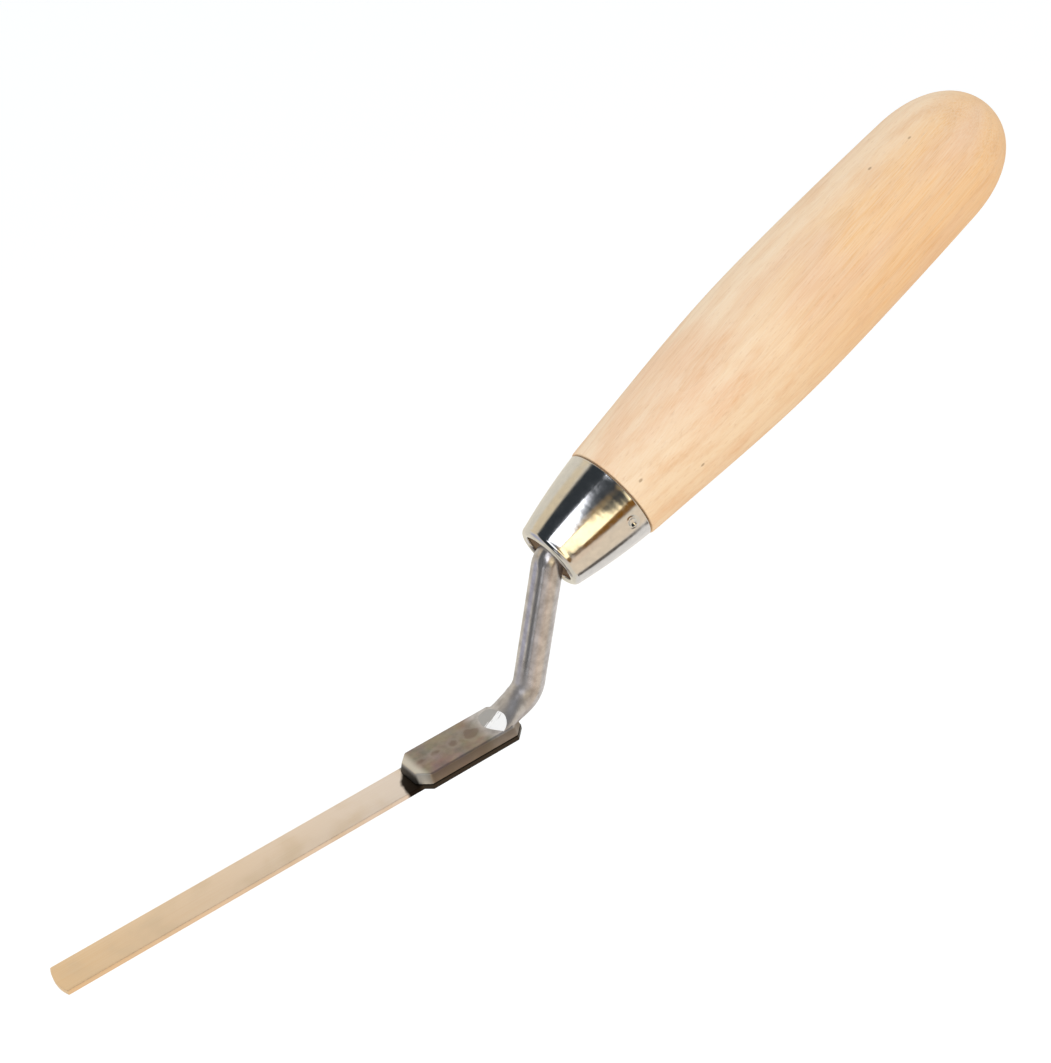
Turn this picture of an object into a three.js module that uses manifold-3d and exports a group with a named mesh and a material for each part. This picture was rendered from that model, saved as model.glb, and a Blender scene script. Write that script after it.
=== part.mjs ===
// Brick jointer: a narrow finger trowel for filling and striking mortar joints.
// Millimetres, +Z up. +X runs from the tip of the blade towards the handle, and +Y is across the blade.
// The origin is the middle of the free blade's underside, the flat face that works the mortar.

import * as THREE from "three";
import { mergeVertices } from "three/addons/utils/BufferGeometryUtils.js";
import Module from "manifold-3d";

const wasm = await Module();
wasm.setup();

// ---------------------------------------------------------------- driving dimensions

// Blade: one strip of spring steel whose wider heel lies under the foot.
const BLADE_FREE = 73.6; // from the tip to the heel's front end
const BLADE_WIDTH = 8;
const BLADE_THICKNESS = 1;
const TIP_CROWN = 0.6; // the middle of the tip stands this far ahead of its corners

// Foot: the end of the rod, pressed flat in a die and spot-welded on the heel.
const FOOT_LENGTH = 24.4;
const FOOT_WIDTH = 10.8; // at its underside
const FOOT_THICKNESS = 2.1;
const FOOT_END = 5.6; // width of its front and rear ends, between the cut corners
const CORNER_LENGTH = 2.4; // along the foot, of each cut corner
const DIE_DRAFT = 0.65; // its sides lean in this far from underside to top

// Neck and tang: the rest of the rod.
const ROD_DIAMETER = 6.2;
const NECK_ANGLE = 66.8; // degrees that the neck leans up from the blade
const NECK_HEIGHT = 30; // from the blade's underside to the middle of the ferrule's mouth
const LOWER_BEND = 5.2; // radius of the rod's middle line
const UPPER_BEND = 3.4;
const PRESS_RUN = 5.4; // length over which the rod goes from round to flat
const PRESS_OVERHANG = 0.6; // it is round again this far behind the foot
const TANG_LENGTH = 62; // from the ferrule's mouth to its end in the handle

// Ferrule: a drawn steel cap with a hole in its end.
const HANDLE_TILT = 21; // degrees that the handle leans up from the blade
const FERRULE_LENGTH = 17.5;
const FERRULE_WALL = 0.8;
const FERRULE_TIP_RADIUS = 7.15;
const FERRULE_BASE_RADIUS = 10.4;
const FERRULE_BULGE = 0.3; // its side stands this far outside a straight cone at half length
const TIP_ROUNDING = 1.3; // radius of the drawn corner round the tip
const MOUTH_RADIUS = 5.7; // of the hole that the rod comes out of
const STAKE_RADIUS = 0.9; // the punch marks that hold the ferrule on the wood
const STAKE_DEPTH = 0.4;
const STAKE_FROM_BASE = 2.7;

// Handle: turned beech.
const GRIP_LENGTH = 111; // the wood that shows behind the ferrule
const SHOULDER_PROUD = 0.25; // the wood stands this far outside the ferrule's base
const SHOULDER_TAPER = 0.085; // how fast its radius grows behind the ferrule, in mm per mm
const SHOULDER_RUN = 21; // length over which that taper shapes the flare
const BELLY_DIAMETER = 28.2;
const BELLY_PLACE = 52; // from the ferrule's base to the thickest place
const BELLY_RUN = 18; // length of the nearly even stretch on each side of it
const BUTT_DIAMETER = 26.6; // where the rounded end starts
const BUTT_LENGTH = 18; // of the rounded end
const BUTT_CROWN = 0.68; // share of the rounded end's radius that is nearly flat
const TENON_SETBACK = 3.2; // from the ferrule's mouth to the wood inside it
const TANG_HOLE_SPARE = 2; // the hole runs on this far past the tang

const FIT_GAP = 0.3; // between the ferrule, the wood and the tang

// Facets
const ROD_SIDES = 24;
const TURNED_SIDES = 48;
const CURVE_STEPS = 10;

// ---------------------------------------------------------------- derived places

const rodRadius = ROD_DIAMETER / 2;
const rodZ = BLADE_THICKNESS + rodRadius; // the rod's underside lies on the heel
const heelRear = BLADE_FREE + FOOT_LENGTH;
const roundX = heelRear + PRESS_OVERHANG;
const neckAngle = THREE.MathUtils.degToRad(NECK_ANGLE);
const handleTilt = THREE.MathUtils.degToRad(HANDLE_TILT);
const kneeX = roundX + LOWER_BEND * Math.tan(neckAngle / 2);
const mouthPlace = new THREE.Vector2(kneeX + (NECK_HEIGHT - rodZ) / Math.tan(neckAngle), NECK_HEIGHT);

// ---------------------------------------------------------------- materials

const springSteel = new THREE.MeshStandardMaterial({ color: 0xdcc9b0, roughness: 0.4, metalness: 0.9 });
const forgedSteel = new THREE.MeshStandardMaterial({ color: 0x8f8983, roughness: 0.36, metalness: 1 });
const chromedSteel = new THREE.MeshStandardMaterial({ color: 0xe4e4e6, roughness: 0.08, metalness: 1 });
const beech = new THREE.MeshStandardMaterial({ color: 0xf2d6b4, roughness: 0.6, metalness: 0 });

// ---------------------------------------------------------------- helpers

// A closed three.js geometry as a manifold-3d solid.
function toSolid(geometry) {
  const bare = geometry.clone();
  bare.deleteAttribute("normal");
  bare.deleteAttribute("uv");
  const merged = mergeVertices(bare, 1e-4);
  return new wasm.Manifold(new wasm.Mesh({
    numProp: 3,
    vertProperties: Float32Array.from(merged.attributes.position.array),
    triVerts: Uint32Array.from(merged.index.array),
  }));
}

function toGeometry(solid) {
  const { vertProperties, triVerts } = solid.getMesh();
  const geometry = new THREE.BufferGeometry();
  geometry.setAttribute("position", new THREE.BufferAttribute(vertProperties, 3));
  geometry.setIndex(new THREE.BufferAttribute(triVerts, 1));
  geometry.computeVertexNormals();
  return geometry;
}

function named(name, geometry, material) {
  const mesh = new THREE.Mesh(geometry, material);
  mesh.name = name;
  return mesh;
}

// A closed profile of (radius, place along the axis), turned about the local +X axis.
function turned(profile) {
  const geometry = new THREE.LatheGeometry(profile, TURNED_SIDES);
  return geometry.rotateZ(-Math.PI / 2);
}

// The point at a distance from a place, in the direction of an angle in radians.
function along(place, angle, distance) {
  return new THREE.Vector2(Math.cos(angle), Math.sin(angle)).multiplyScalar(distance).add(place);
}

// A closed outline that is the same on both sides of the X axis, from the points of its +Y side.
function mirroredOutline(flank) {
  const opposite = flank.map((point) => new THREE.Vector2(point.x, -point.y));
  return new THREE.Shape([...opposite, ...flank.toReversed()]);
}

// ---------------------------------------------------------------- blade

// The +Y side of the cut-cornered plate that the heel and the foot's underside share.
function plateFlank() {
  return [
    new THREE.Vector2(BLADE_FREE, FOOT_END / 2),
    new THREE.Vector2(BLADE_FREE + CORNER_LENGTH, FOOT_WIDTH / 2),
    new THREE.Vector2(heelRear - CORNER_LENGTH, FOOT_WIDTH / 2),
    new THREE.Vector2(heelRear, FOOT_END / 2),
  ];
}

function blade() {
  const strip = new THREE.Shape();
  strip.moveTo(BLADE_FREE + FOOT_LENGTH / 2, -BLADE_WIDTH / 2);
  strip.lineTo(BLADE_FREE + FOOT_LENGTH / 2, BLADE_WIDTH / 2);
  strip.lineTo(TIP_CROWN, BLADE_WIDTH / 2);
  strip.quadraticCurveTo(-TIP_CROWN, 0, TIP_CROWN, -BLADE_WIDTH / 2);
  const sheet = { depth: BLADE_THICKNESS, bevelEnabled: false, curveSegments: CURVE_STEPS };
  const heel = new THREE.ExtrudeGeometry(mirroredOutline(plateFlank()), sheet);
  const whole = toSolid(new THREE.ExtrudeGeometry(strip, sheet)).add(toSolid(heel));
  return named("blade", toGeometry(whole), springSteel);
}

// ---------------------------------------------------------------- shank

// The rod's middle line in the XZ plane: foot, lower bend, neck, upper bend and tang.
function rodLine() {
  const quarter = Math.PI / 2;
  const upperTangent = UPPER_BEND * Math.tan((neckAngle - handleTilt) / 2);
  const lower = new THREE.Path();
  lower.absarc(roundX, rodZ + LOWER_BEND, LOWER_BEND, -quarter, neckAngle - quarter);
  const upper = new THREE.Path();
  const upperStart = along(mouthPlace, neckAngle, -upperTangent);
  const upperCentre = along(upperStart, neckAngle - quarter, UPPER_BEND);
  upper.absarc(upperCentre.x, upperCentre.y, UPPER_BEND, neckAngle + quarter, handleTilt + quarter, true);
  const bends = [lower, upper].map((bend) => bend.getSpacedPoints(CURVE_STEPS));
  const flatX = roundX - PRESS_RUN;
  const press = Array.from({ length: CURVE_STEPS }, (_, step) => (
    new THREE.Vector2(flatX + (PRESS_RUN * step) / CURVE_STEPS, rodZ)
  ));
  const footMiddle = new THREE.Vector2(BLADE_FREE + FOOT_LENGTH / 2, rodZ);
  return [footMiddle, ...press, ...bends[0], ...bends[1], along(mouthPlace, handleTilt, TANG_LENGTH)];
}

// The rod with its end pressed from above: the underside stays where it was, and the sides spread.
function rod() {
  const line = rodLine();
  const geometry = new THREE.CylinderGeometry(1, 1, 1, ROD_SIDES, line.length - 1);
  const place = geometry.attributes.position;
  const sunk = DIE_DRAFT / 2; // the rod's flat end stays this far inside the foot
  const flatHalfWidth = FOOT_WIDTH / 2 - DIE_DRAFT - sunk;
  const flatHalfHeight = (FOOT_THICKNESS - sunk) / 2;
  for (let i = 0; i < place.count; i += 1) {
    const station = Math.round((place.getY(i) + 0.5) * (line.length - 1));
    const centre = line[station];
    const before = line[Math.max(station - 1, 0)];
    const after = line[Math.min(station + 1, line.length - 1)];
    const direction = after.clone().sub(before).angle();
    const roundness = THREE.MathUtils.clamp(1 - (roundX - centre.x) / PRESS_RUN, 0, 1);
    const halfWidth = THREE.MathUtils.lerp(flatHalfWidth, rodRadius, roundness);
    const halfHeight = THREE.MathUtils.lerp(flatHalfHeight, rodRadius, roundness);
    const rise = (place.getZ(i) + 1) * halfHeight - rodRadius;
    const point = along(centre, direction + Math.PI / 2, rise);
    place.setXYZ(i, point.x, -place.getX(i) * halfWidth, point.y);
  }
  return geometry;
}

function foot() {
  const sheet = { depth: FOOT_THICKNESS, bevelEnabled: false };
  const geometry = new THREE.ExtrudeGeometry(mirroredOutline(plateFlank()), sheet);
  const place = geometry.attributes.position;
  const middle = BLADE_FREE + FOOT_LENGTH / 2;
  for (let i = 0; i < place.count; i += 1) {
    if (place.getZ(i) > FOOT_THICKNESS / 2) {
      place.setX(i, place.getX(i) + DIE_DRAFT * Math.sign(middle - place.getX(i)));
      place.setY(i, place.getY(i) * (1 - (2 * DIE_DRAFT) / FOOT_WIDTH));
    }
  }
  return geometry.translate(0, 0, BLADE_THICKNESS);
}

function shank() {
  return named("shank", toGeometry(toSolid(rod()).add(toSolid(foot()))), forgedSteel);
}

// ---------------------------------------------------------------- ferrule

// Radius of the ferrule's outside, at a place measured from its mouth.
function ferruleRadius(place) {
  const share = place / FERRULE_LENGTH;
  const cone = THREE.MathUtils.lerp(FERRULE_TIP_RADIUS, FERRULE_BASE_RADIUS, share);
  return cone + 4 * FERRULE_BULGE * share * (1 - share);
}

function ferrule() {
  const cornerRadius = ferruleRadius(TIP_ROUNDING) - TIP_ROUNDING;
  const outer = new THREE.Path();
  outer.absarc(cornerRadius, TIP_ROUNDING, TIP_ROUNDING, -Math.PI / 2, 0);
  const inner = new THREE.Path();
  inner.absarc(cornerRadius, TIP_ROUNDING, TIP_ROUNDING - FERRULE_WALL, 0, -Math.PI / 2, true);
  const side = Array.from({ length: CURVE_STEPS }, (_, step) => {
    const place = THREE.MathUtils.lerp(TIP_ROUNDING, FERRULE_LENGTH, (step + 1) / CURVE_STEPS);
    return new THREE.Vector2(ferruleRadius(place), place);
  });
  const profile = [
    new THREE.Vector2(MOUTH_RADIUS, 0),
    ...outer.getSpacedPoints(CURVE_STEPS),
    ...side,
    ...side.toReversed().map((point) => new THREE.Vector2(point.x - FERRULE_WALL, point.y)),
    ...inner.getSpacedPoints(CURVE_STEPS),
    new THREE.Vector2(MOUTH_RADIUS, FERRULE_WALL),
    new THREE.Vector2(MOUTH_RADIUS, 0),
  ];
  let cap = toSolid(turned(profile));
  const stakePlace = FERRULE_LENGTH - STAKE_FROM_BASE;
  for (const side of [-1, 1]) {
    const punch = new THREE.SphereGeometry(STAKE_RADIUS, ROD_SIDES, CURVE_STEPS);
    const reach = ferruleRadius(stakePlace) + STAKE_RADIUS - STAKE_DEPTH;
    cap = cap.subtract(toSolid(punch.translate(stakePlace, side * reach, 0)));
  }
  return named("ferrule", toGeometry(cap), chromedSteel);
}

// ---------------------------------------------------------------- handle

function handle() {
  const tenonRadius = (place) => ferruleRadius(place) - FERRULE_WALL - FIT_GAP;
  const holeRadius = rodRadius + FIT_GAP;
  const holeEnd = TANG_LENGTH + TANG_HOLE_SPARE;
  const shoulder = FERRULE_LENGTH + FIT_GAP;
  const shoulderRadius = FERRULE_BASE_RADIUS + SHOULDER_PROUD;
  const bellyRadius = BELLY_DIAMETER / 2;
  const bellyPlace = FERRULE_LENGTH + BELLY_PLACE;
  const buttRadius = BUTT_DIAMETER / 2;
  const end = FERRULE_LENGTH + GRIP_LENGTH;
  const buttPlace = end - BUTT_LENGTH;
  const buttSlope = (bellyRadius - buttRadius) / (buttPlace - bellyPlace - BELLY_RUN);
  const wood = new THREE.Path();
  wood.moveTo(0, holeEnd);
  wood.lineTo(holeRadius, holeEnd);
  wood.lineTo(holeRadius, TENON_SETBACK);
  wood.lineTo(tenonRadius(TENON_SETBACK), TENON_SETBACK);
  wood.lineTo(tenonRadius(FERRULE_LENGTH), shoulder);
  wood.lineTo(shoulderRadius, shoulder);
  wood.bezierCurveTo(
    shoulderRadius + SHOULDER_TAPER * SHOULDER_RUN, shoulder + SHOULDER_RUN,
    bellyRadius, bellyPlace - BELLY_RUN,
    bellyRadius, bellyPlace,
  );
  wood.quadraticCurveTo(bellyRadius, bellyPlace + BELLY_RUN, buttRadius, buttPlace);
  wood.bezierCurveTo(
    buttRadius - (buttSlope * BUTT_LENGTH) / 2, buttPlace + BUTT_LENGTH / 2,
    buttRadius * BUTT_CROWN, end,
    0, end,
  );
  return named("handle", turned(wood.getPoints(CURVE_STEPS)), beech);
}

// ---------------------------------------------------------------- assembly

const grip = new THREE.Group();
grip.position.set(mouthPlace.x, 0, mouthPlace.y);
grip.rotation.y = -handleTilt;
grip.add(ferrule(), handle());

const jointer = new THREE.Group();
jointer.position.x = -BLADE_FREE / 2;
jointer.add(blade(), shank(), grip);

export default jointer;
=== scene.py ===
# %% [markdown]
# # A brick jointer, finished for its looks
# A brick jointer is a finger trowel: a narrow steel blade, a rod that lifts the hand clear of the wall, a
# chromed ferrule and a turned beech handle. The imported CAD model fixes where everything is. This lesson
# measures it, builds a finer piece over each of its four solids, and gives each piece the finish of its
# real material.

# %% Load the frame
import math

import bmesh
import bpy
from mathutils import Matrix, Vector


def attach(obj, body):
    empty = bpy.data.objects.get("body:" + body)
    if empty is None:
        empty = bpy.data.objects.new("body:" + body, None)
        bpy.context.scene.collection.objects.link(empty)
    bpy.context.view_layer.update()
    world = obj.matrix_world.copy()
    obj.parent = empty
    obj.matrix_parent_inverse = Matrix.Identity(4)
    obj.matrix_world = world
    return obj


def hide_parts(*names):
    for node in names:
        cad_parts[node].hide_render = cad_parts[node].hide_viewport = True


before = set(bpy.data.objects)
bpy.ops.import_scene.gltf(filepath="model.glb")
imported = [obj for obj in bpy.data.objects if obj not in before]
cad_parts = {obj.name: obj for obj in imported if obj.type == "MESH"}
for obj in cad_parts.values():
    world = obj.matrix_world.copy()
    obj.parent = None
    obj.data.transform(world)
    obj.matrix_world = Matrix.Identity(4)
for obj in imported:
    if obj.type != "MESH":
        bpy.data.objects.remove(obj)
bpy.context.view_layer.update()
print("CAD nodes:", sorted(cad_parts))

# %% [markdown]
# ## Measuring the frame
# Blender works in metres and a toolmaker in millimetres, so every size below is in millimetres and is
# turned to metres in one place, when a mesh is made. The places come from the CAD solids themselves: how
# far a solid reaches along a direction gives the ends of the blade, and the axis that the ferrule and the
# handle share.

# %% Units and places
MM = 0.001
HANDLE_TILT = math.radians(21)  # the handle leans up from the blade
GRIP_AXIS = Vector((math.cos(HANDLE_TILT), 0, math.sin(HANDLE_TILT)))
GRIP_RISE = Vector((-math.sin(HANDLE_TILT), 0, math.cos(HANDLE_TILT)))


def reach(node, direction):
    """The lowest and highest place of a CAD solid along a direction, in mm."""
    places = [direction.dot(vertex.co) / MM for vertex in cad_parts[node].data.vertices]
    return min(places), max(places)


tip_x, heel_rear = reach("blade", Vector((1, 0, 0)))
blade_top = reach("blade", Vector((0, 0, 1)))[1]
heel_half_width = reach("blade", Vector((0, 1, 0)))[1]
mouth_along, ferrule_base_along = reach("ferrule", GRIP_AXIS)
ferrule_low, ferrule_high = reach("ferrule", GRIP_RISE)
tenon_along, butt_along = reach("handle", GRIP_AXIS)
MOUTH = GRIP_AXIS * mouth_along + GRIP_RISE * (ferrule_low + ferrule_high) / 2
print(f"blade {heel_rear - tip_x:.1f} mm, ferrule and handle {butt_along - mouth_along:.1f} mm")

# %% [markdown]
# ## The camera
# A camera is a point, a direction and a roll. The tool is seen from its left front, from 30 degrees above,
# with the camera rolled so that the handle climbs to the upper right. The three axes of the camera make its
# matrix: right, up and backwards. The sensor keeps Blender's 36 mm along the picture's long side.

# %% Camera
CAMERA_AZIMUTH = math.radians(-28.07)
CAMERA_ELEVATION = math.radians(30.49)
CAMERA_ROLL = math.radians(-12.75)
CAMERA_TARGET = Vector((72.92, 0, 38.01))  # a point just ahead of the ferrule
CAMERA_DISTANCE = 372.45
LENS = 67.71


def heading(azimuth, elevation):
    """The unit vector towards an azimuth, counted from -Y towards +X, and an elevation, both in radians."""
    flat = math.cos(elevation)
    return Vector((math.sin(azimuth) * flat, -math.cos(azimuth) * flat, math.sin(elevation)))


backwards = heading(CAMERA_AZIMUTH, CAMERA_ELEVATION)
level_right = Vector((0, 0, 1)).cross(backwards).normalized()
roll = Matrix.Rotation(-CAMERA_ROLL, 3, -backwards)
camera_right = roll @ level_right
camera_up = backwards.cross(camera_right)
camera_data = bpy.data.cameras.new("camera")
camera_data.lens = LENS
camera_data.clip_start = 0.01
camera = bpy.data.objects.new("camera", camera_data)
camera.matrix_world = Matrix((camera_right, camera_up, backwards)).transposed().to_4x4()
camera.location = (CAMERA_TARGET + backwards * CAMERA_DISTANCE) * MM
bpy.context.scene.collection.objects.link(camera)
bpy.context.scene.camera = camera
print("camera at", [round(c, 4) for c in camera.location])

# %% [markdown]
# ## One way to add nodes, one way to write a colour
# Every material and every node tree below is made by the same small function: it adds a node, sets its
# properties and fills its inputs with numbers or with other nodes' outputs. Colours are written as the sRGB
# hex values that a painter would pick from a screen, and turned to the linear values that the renderer
# counts in.

# %% Helpers for nodes and colours
def connect(tree, node, inputs):
    """Fill a node's inputs with plain values or with other nodes' outputs."""
    for socket, value in inputs.items():
        if isinstance(value, bpy.types.NodeSocket):
            tree.links.new(value, node.inputs[socket])
        else:
            node.inputs[socket].default_value = value


def add(tree, kind, inputs=None, out=None, **settings):
    """Add one node with its settings and inputs, and return the output named, or else its first live one."""
    node = tree.nodes.new(kind)
    for name, value in settings.items():
        setattr(node, name, value)
    connect(tree, node, inputs or {})
    if out is not None:
        return node.outputs[out]
    return next((socket for socket in node.outputs if socket.enabled), None)


def colour(code):
    """An sRGB hex colour as linear red, green, blue and a full alpha."""
    channels = [int(code[place:place + 2], 16) / 255 for place in (0, 2, 4)]
    return [c / 12.92 if c <= 0.04045 else ((c + 0.055) / 1.055) ** 2.4 for c in channels] + [1.0]


# %% [markdown]
# ## The studio
# Polished steel is drawn by what it reflects. A chrome cap in an all-white room looks like plaster, so a
# studio keeps the room white and lets only the metal see something dark: black cloth behind the camera,
# with the softboxes standing in front of it. Here the world does that. Rays that light matt surfaces find a
# plain dome, cool white above and warmer below. Rays mirrored by metal find a cream dome hung with round
# patches: cloths, a far window, warm walls and a lit table. The floor lies well below the tool, pale and
# plain, and far enough down that it takes no hard shadow. Only the camera sees it, so it neither tints the
# wood nor shows in the metal.

# %% Floor
FLOOR_DROP = 260  # from the blade's underside down to the floor
FLOOR_HALF = 4000
PAPER_GLOW = 0.2  # lifts the paper to a plain white
floor_mesh = bpy.data.meshes.new("floor")
floor_corners = [Vector((x * FLOOR_HALF, y * FLOOR_HALF, -FLOOR_DROP))
                 for x, y in ((-1, -1), (1, -1), (1, 1), (-1, 1))]
floor_mesh.from_pydata([corner * MM for corner in floor_corners], [], [(0, 1, 2, 3)])
floor = bpy.data.objects.new("floor", floor_mesh)
bpy.context.scene.collection.objects.link(floor)
floor.visible_glossy = False
floor.visible_diffuse = False

paper = bpy.data.materials.new("white_paper")
paper.use_nodes = True
connect(paper.node_tree, paper.node_tree.nodes["Principled BSDF"],
        {"Base Color": colour("FAFAF8"), "Roughness": 0.9,
         "Emission Color": colour("FFFFFF"), "Emission Strength": PAPER_GLOW})
floor_mesh.materials.append(paper)

# %% World
LIGHT_ABOVE = colour("EAEDF2")  # the light that matt surfaces find, above and below
LIGHT_BELOW = colour("FBE9D2")
ALL_BELOW = -0.3  # a direction's Z where the light is all from below
ALL_ABOVE = 0.4
DOME_MIRRORED = colour("F2EAD8")
# what the metal sees on the dome, each patch over the last: azimuth and elevation of its middle, how far out
# it is full and where it is gone, all in degrees, and its colour
MIRRORED_CLOTHS = [
    (100, -60, 22, 42, "FAF5EE"),  # the bright floor beyond the handle
    (-150, 35, 10, 22, "F2DFBC"),  # a warm wall behind
    (-35, 44, 62, 71, "33383C"),  # black cloth round the softboxes
    (-30, 29, 6, 14, "A88C60"),  # the camera's place between the softboxes
    (-61, 6, 5, 10, "FFFFFF"),  # a far window
    (-38, -9, 12, 19, "E4DAD0"),  # a gap below the cloth
    (-18, -15, 6, 12, "F4E2CE"),  # the same gap, lit by the table
    (-125, 0, 12, 24, "C3C3D2"),  # the cool end of the room
    (12, -40, 15, 30, "FFEBD0"),  # the lit table below
    (-5, -21, 4, 10, "FFE6CA"),  # the table's near corner
    (-1, -5, 6, 11, "8A5C20"),  # its wooden edge
    (44, -62, 3, 9, "5E564F"),  # a narrow flag
]

world = bpy.data.worlds.new("studio")
bpy.context.scene.world = world
world.use_nodes = True
sky = world.node_tree
sky.nodes.clear()
direction = add(sky, "ShaderNodeTexCoord", out="Generated")
mirrored = DOME_MIRRORED
for azimuth, elevation, full, gone, tint in MIRRORED_CLOTHS:
    centre = heading(math.radians(azimuth), math.radians(elevation))
    facing = add(sky, "ShaderNodeVectorMath", {0: direction, 1: centre}, out="Value", operation="DOT_PRODUCT")
    cover = add(sky, "ShaderNodeMapRange", {"Value": facing, "From Min": math.cos(math.radians(gone)),
                                            "From Max": math.cos(math.radians(full))},
                interpolation_type="SMOOTHSTEP")
    mirrored = add(sky, "ShaderNodeMix", {0: cover, 6: mirrored, 7: colour(tint)}, data_type="RGBA")
glossy = add(sky, "ShaderNodeLightPath", out="Is Glossy Ray")
height = add(sky, "ShaderNodeSeparateXYZ", {0: direction}, out="Z")
above = add(sky, "ShaderNodeMapRange", {"Value": height, "From Min": ALL_BELOW, "From Max": ALL_ABOVE})
matt = add(sky, "ShaderNodeMix", {0: above, 6: LIGHT_BELOW, 7: LIGHT_ABOVE}, data_type="RGBA")
seen = add(sky, "ShaderNodeMix", {0: glossy, 6: matt, 7: mirrored}, data_type="RGBA")
dome = add(sky, "ShaderNodeBackground", {"Color": seen})
add(sky, "ShaderNodeOutputWorld", {"Surface": dome})

# %% [markdown]
# The softboxes are area lights. Each is aimed at the ferrule, and a lamp's power is worked out from how
# bright its face should look, because a face of radiance L sends out pi times L watts from each square
# metre. The window and the lamp stand in one line across the grip, so that round metal shows them as two
# short bright bars, one white and one warm.

# %% Softboxes
LAMP_DISTANCE = 800
LAMP_AIM = MOUTH + GRIP_AXIS * 9  # inside the ferrule
# name: azimuth, elevation and turn about its own axis in degrees, length, width, brightness, colour
SOFTBOXES = {
    "window": (-49, 43, -53, 560, 215, 3.0, "F8FAFF"),
    "lamp": (-17, 14, -53, 500, 170, 2.3, "FFE9B8"),
}
for name, (azimuth, elevation, turn, length, width, brightness, tint) in SOFTBOXES.items():
    light = bpy.data.lights.new(name, "AREA")
    light.shape = "RECTANGLE"
    light.size = length * MM
    light.size_y = width * MM
    light.color = colour(tint)[:3]
    light.energy = math.pi * brightness * light.size * light.size_y
    box = bpy.data.objects.new(name, light)
    away = heading(math.radians(azimuth), math.radians(elevation))
    aimed = away.to_track_quat("Z", "Y").to_matrix() @ Matrix.Rotation(math.radians(turn), 3, "Z")
    box.matrix_world = Matrix.Translation((LAMP_AIM + away * LAMP_DISTANCE) * MM) @ aimed.to_4x4()
    box.visible_camera = False
    bpy.context.scene.collection.objects.link(box)
print("softboxes:", ", ".join(SOFTBOXES))

bpy.context.scene.view_settings.view_transform = "Standard"

# %% [markdown]
# ## Outlines and meshes
# The pieces share a few drawing tools: an arc, a Bezier curve, and a function that turns a list of points
# and faces in millimetres into a Blender object. The object stays at the origin, unturned and unscaled,
# with its place in its mesh, as the CAD nodes are, so that patterns and exports agree about where it is.

# %% Helpers for shapes
def arc(centre, radius, start, stop, steps):
    """Points on a circle's arc between two angles in degrees, both ends included."""
    angles = [math.radians(start + (stop - start) * step / steps) for step in range(steps + 1)]
    return [Vector((centre[0] + radius * math.cos(a), centre[1] + radius * math.sin(a))) for a in angles]


def bezier(points, steps):
    """Points on the Bezier curve of any number of control points, both ends included."""
    made = []
    for step in range(steps + 1):
        share = step / steps
        level = [Vector(point) for point in points]
        while len(level) > 1:
            level = [a.lerp(b, share) for a, b in zip(level, level[1:])]
        made.append(level[0])
    return made


def mesh_object(name, points, faces):
    """A new object from points in millimetres and their faces, with its normals made to point outwards."""
    mesh = bpy.data.meshes.new(name)
    mesh.from_pydata([Vector(point) * MM for point in points], [], faces)
    shape = bmesh.new()
    shape.from_mesh(mesh)
    bmesh.ops.remove_doubles(shape, verts=shape.verts, dist=1e-7)
    bmesh.ops.recalc_face_normals(shape, faces=shape.faces)
    shape.to_mesh(mesh)
    shape.free()
    made = bpy.data.objects.new(name, mesh)
    bpy.context.scene.collection.objects.link(made)
    return made


def lofted(name, rings):
    """A closed body through rings of equally many points, with a flat face over both end rings."""
    count = len(rings[0])
    points = [point for ring in rings for point in ring]
    faces = [tuple(range(count)), tuple(range(len(points) - count, len(points)))]
    for ring in range(len(rings) - 1):
        for side in range(count):
            here, following = ring * count + side, ring * count + (side + 1) % count
            faces.append((here, following, following + count, here + count))
    return mesh_object(name, points, faces)


def soften(piece, width, angle, segments=3):
    """Round the edges sharper than an angle in degrees, mark what is still sharp, and smooth the rest."""
    bevel = piece.modifiers.new("edge_round", "BEVEL")
    bevel.width = width * MM
    bevel.segments = segments
    bevel.limit_method = "ANGLE"
    bevel.angle_limit = math.radians(angle)
    bake(piece)
    piece.data.shade_smooth()
    piece.data.set_sharp_from_angle(angle=math.radians(angle))


def bake(piece):
    """Replace a piece's mesh by what its modifiers make of it, and remove them."""
    bpy.context.view_layer.update()
    finished = bpy.data.meshes.new_from_object(piece.evaluated_get(bpy.context.evaluated_depsgraph_get()))
    piece.modifiers.clear()
    piece.data = finished


def finish_piece(piece, node):
    """Put a piece in its CAD node's place, on the one body, and measure it."""
    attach(piece, "root")
    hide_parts(node)
    triangles = sum(len(face.vertices) - 2 for face in piece.data.polygons)
    print(f"{piece.name}: {triangles} triangles, {[round(side / MM, 2) for side in piece.dimensions]} mm")


# %% [markdown]
# ## The blade
# The blade is one strip of spring steel, ground and tempered. Its tip is cut to a slight curve, its corners
# are eased, and its heel widens to a plate with cut corners that lies under the foot. It could be a box
# with a few loops, but drawing its outline and giving that a thickness keeps every corner where the outline
# says.

# %% Blade outline
TIP_CROWN = 0.6
TIP_CORNER = 0.35
BLADE_HALF_WIDTH = 4
FOOT_LENGTH = 24.4
FOOT_END = 5.6
CORNER_LENGTH = 2.4
nose_x = heel_rear - FOOT_LENGTH


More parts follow.
